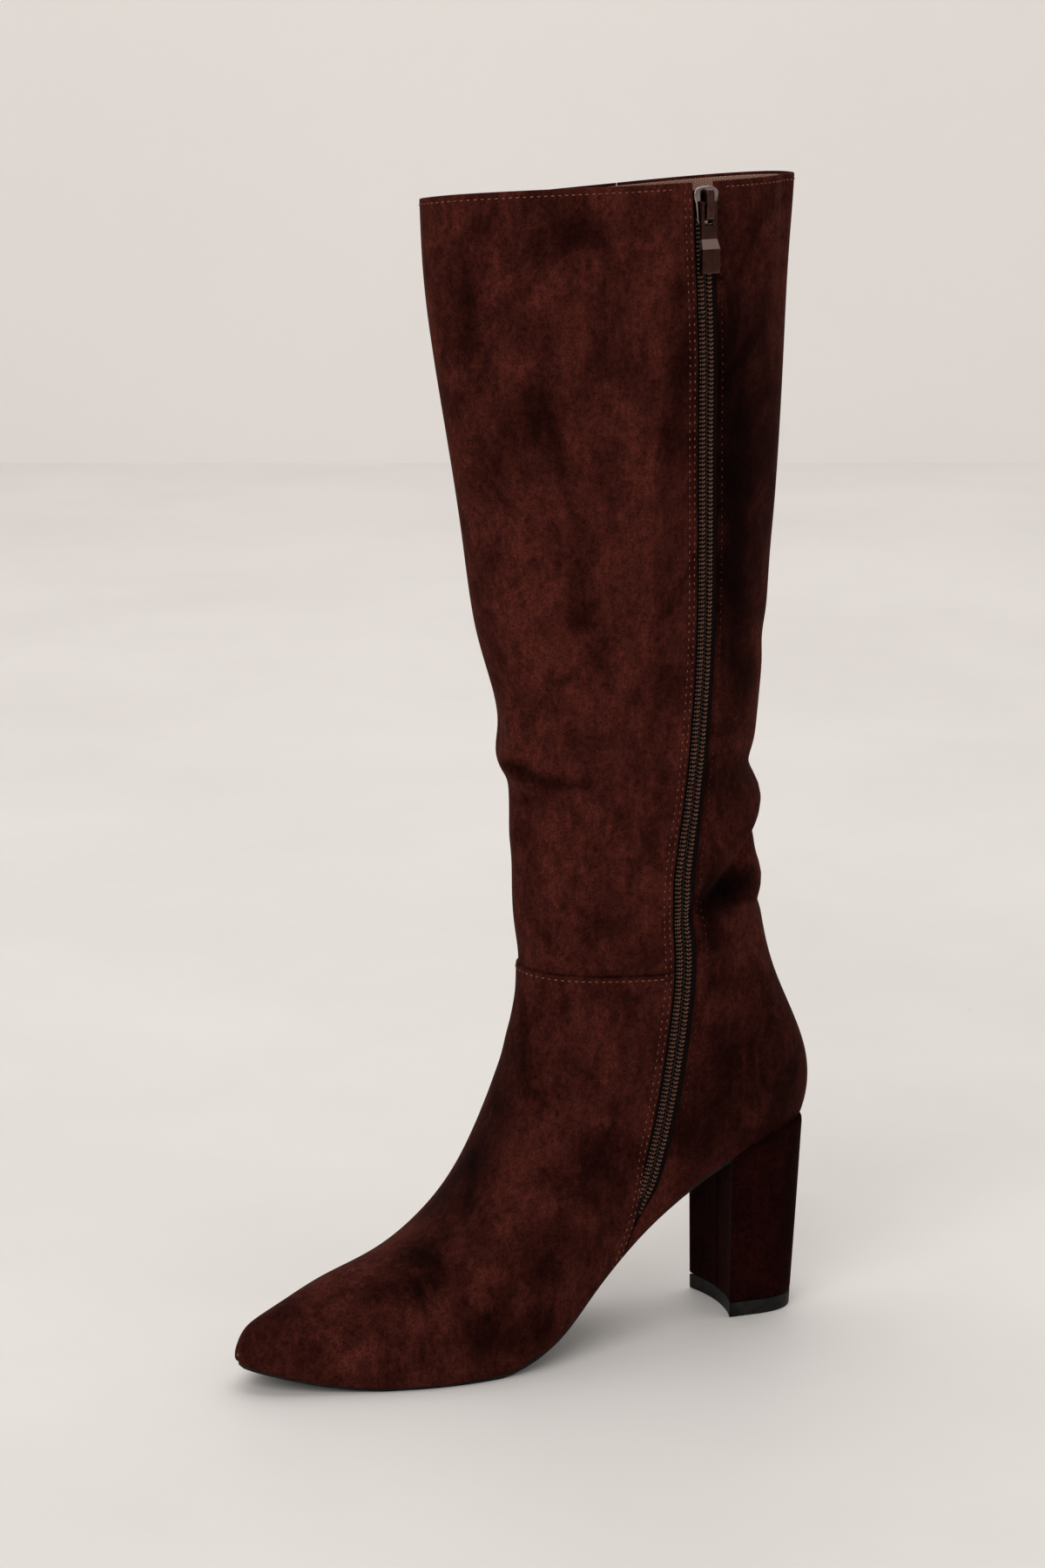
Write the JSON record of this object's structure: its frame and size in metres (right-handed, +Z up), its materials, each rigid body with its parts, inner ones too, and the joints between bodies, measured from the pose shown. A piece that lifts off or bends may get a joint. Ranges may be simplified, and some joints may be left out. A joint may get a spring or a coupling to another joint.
{
  "type": "knee-high boot",
  "caption": "Knee-high right boot in brown suede: pointed toe, straight open shaft, zip with a swinging pull tab up the inner side, and a covered block heel.",
  "frame": {"origin": "middle of the base of the boot's box, on the floor that the sole and heel stand on", "axes": "+Z up the shaft; -X to the toe, +X to the heel; -Y to the inner (medial) side with the zip, +Y to the outer side"},
  "size_m": [0.2474, 0.0852, 0.451],
  "materials": {
    "suede": "napped dark brown imitation suede, matt, with light and dark brushed patches",
    "heel_cover": "the same suede wrapped round the heel block",
    "insole_board": "brown textile sock over board",
    "sole_rubber": "black moulded rubber, satin",
    "zip_tape": "dark brown woven tape",
    "zip_coil": "brown nylon coil, slightly glossy",
    "slider_metal": "polished gunmetal",
    "pull_metal": "brown gunmetal enamel, satin"
  },
  "bodies": {
    "boot": {"upper": "suede", "insole": "insole_board", "outsole": "sole_rubber", "heel": "heel_cover", "heel_top_piece": "sole_rubber", "zip_tape_front": "zip_tape", "zip_tape_back": "zip_tape", "zip_coil": "zip_coil", "zip_bottom_stop": "slider_metal", "zip_slider": "slider_metal"},
    "pull": {"zip_pull": "pull_metal"}
  },
  "joints": [
    {"name": "pull_swing", "type": "hinge", "parent": "boot", "child": "pull", "pos_m": [0.05885, -0.03728, 0.443], "axis": [-0.9907, -0.1358, 0], "range_deg": [-2, 165]}
  ]
}
